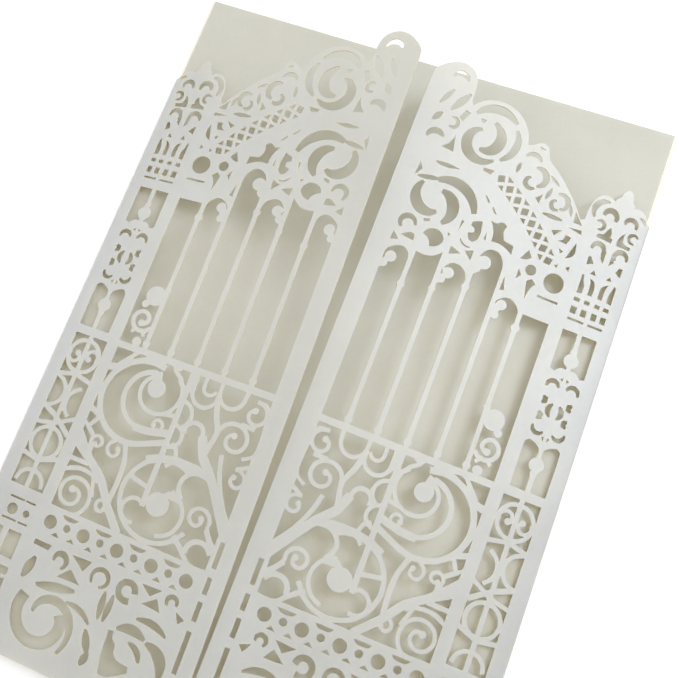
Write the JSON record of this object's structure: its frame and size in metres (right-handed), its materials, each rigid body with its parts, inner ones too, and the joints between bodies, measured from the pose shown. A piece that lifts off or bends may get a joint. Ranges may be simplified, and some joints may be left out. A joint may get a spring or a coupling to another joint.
{
  "type": "laser-cut gatefold invitation",
  "caption": "Gatefold invitation folded from one sheet of pearl card, with a plain back and front flaps laser cut like wrought-iron gates that open over the inside.",
  "frame": {"origin": "under the middle of the back, on the surface that the card lies on", "axes": "+X across the card from the left gate to the right gate, +Y up the card from foot to head, +Z out of the back towards the gates"},
  "size_m": [0.127, 0.1778, 0.0179],
  "materials": {
    "pearl_card": "satin"
  },
  "bodies": {
    "root": {"gatefold_card": "pearl_card"}
  },
  "joints": []
}
